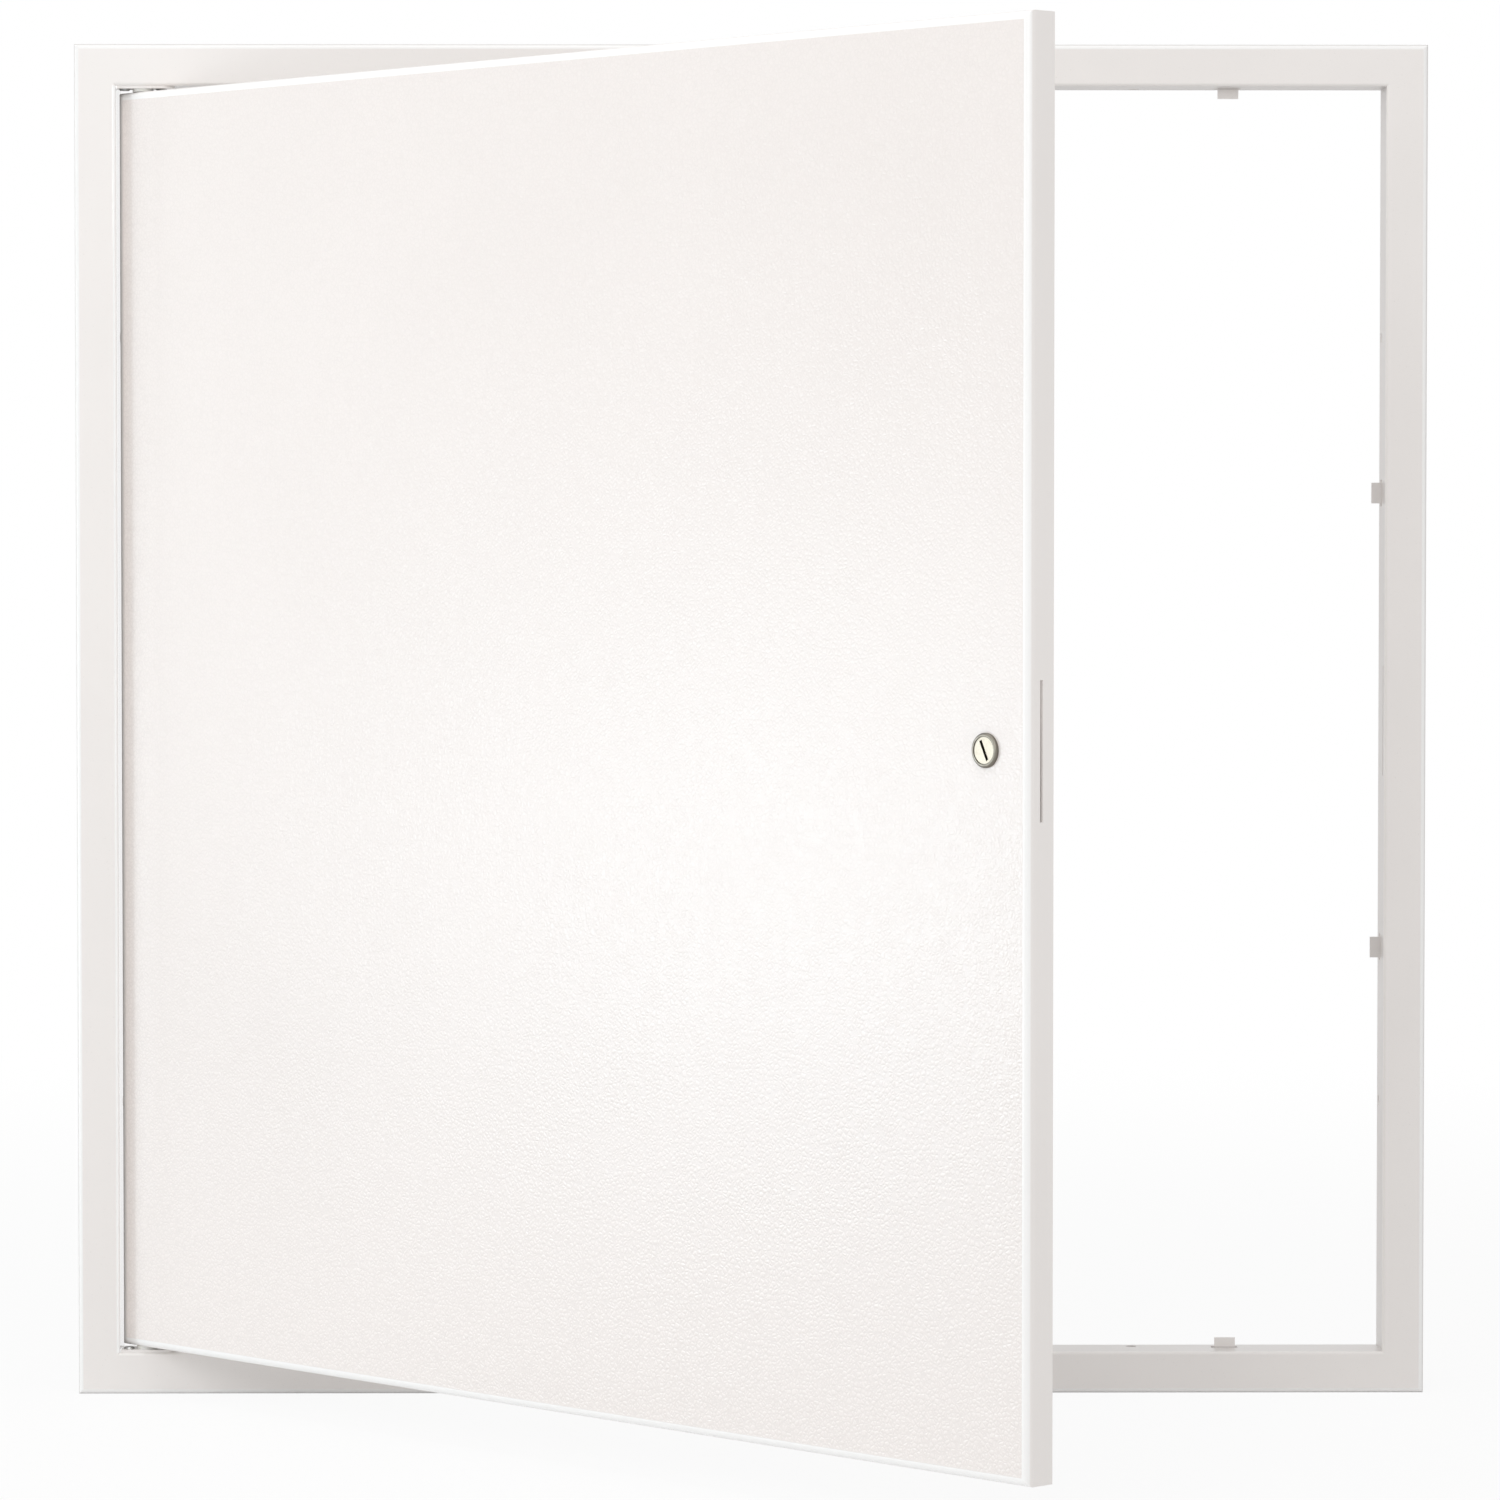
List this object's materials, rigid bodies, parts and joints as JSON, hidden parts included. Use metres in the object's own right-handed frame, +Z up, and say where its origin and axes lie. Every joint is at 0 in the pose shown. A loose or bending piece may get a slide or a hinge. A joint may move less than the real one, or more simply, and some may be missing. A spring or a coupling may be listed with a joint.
{
  "type": "access panel",
  "caption": "Flush square access panel: a flanged frame with a collar, and a folded door that swings on concealed corner pivots and locks with a screwdriver cam latch.",
  "frame": {"origin": "middle of the opening, on the finished wall or ceiling surface that the flange's edge rests on", "axes": "+X from the hinge side to the latch side, +Y into the wall, +Z up along the hinge axis; the front faces -Y"},
  "size_m": [0.65, 0.4568, 0.65],
  "materials": {
    "frame_paint": "smooth white powder coat",
    "door_paint": "leather-grain white powder coat",
    "zinc_steel": "zinc plated",
    "spring_steel": "drawn wire and spring strip",
    "nickel": "nickel plated",
    "nylon": "moulded"
  },
  "bodies": {
    "frame": {"frame_rail_top": "frame_paint", "frame_rail_bottom": "frame_paint", "frame_rail_hinge": "frame_paint", "frame_rail_latch": "frame_paint", "pivot_plate_top": "frame_paint", "pivot_plate_bottom": "frame_paint", "plate_rivets": "zinc_steel", "bottom_pivot_pin": "zinc_steel", "bottom_thrust_washer": "nylon", "top_pivot_bush": "nylon"},
    "door": {"door_pan": "door_paint", "top_pin_bracket": "zinc_steel", "top_pin_spring": "spring_steel", "latch_housing": "nickel", "latch_lock_washer": "zinc_steel", "latch_nut": "zinc_steel"},
    "release_pin": {"top_pivot_pin": "zinc_steel", "top_pin_clip": "spring_steel"},
    "latch": {"latch_plug": "nickel", "cam_washer": "nylon", "latch_cam": "zinc_steel", "cam_screw": "zinc_steel"}
  },
  "joints": [
    {"name": "door_swing", "type": "hinge", "parent": "frame", "child": "door", "pos_m": [-0.2924, 0.00405, 0], "axis": [0, 0, 1], "range_deg": [-73.2, 46.8]},
    {"name": "pin_release", "type": "slide", "parent": "door", "child": "release_pin", "axis": [0, 0, 1], "range_m": [-0.0065, 0], "stiffness_N_per_m": 800, "springref_m": 0.01, "deforming": ["top_pin_spring"]},
    {"name": "latch_turn", "type": "hinge", "parent": "door", "child": "latch", "pos_m": [0.09868, -0.41241, 0], "axis": [0.729, 0.6845, 0], "range_deg": [-64, 26]}
  ]
}
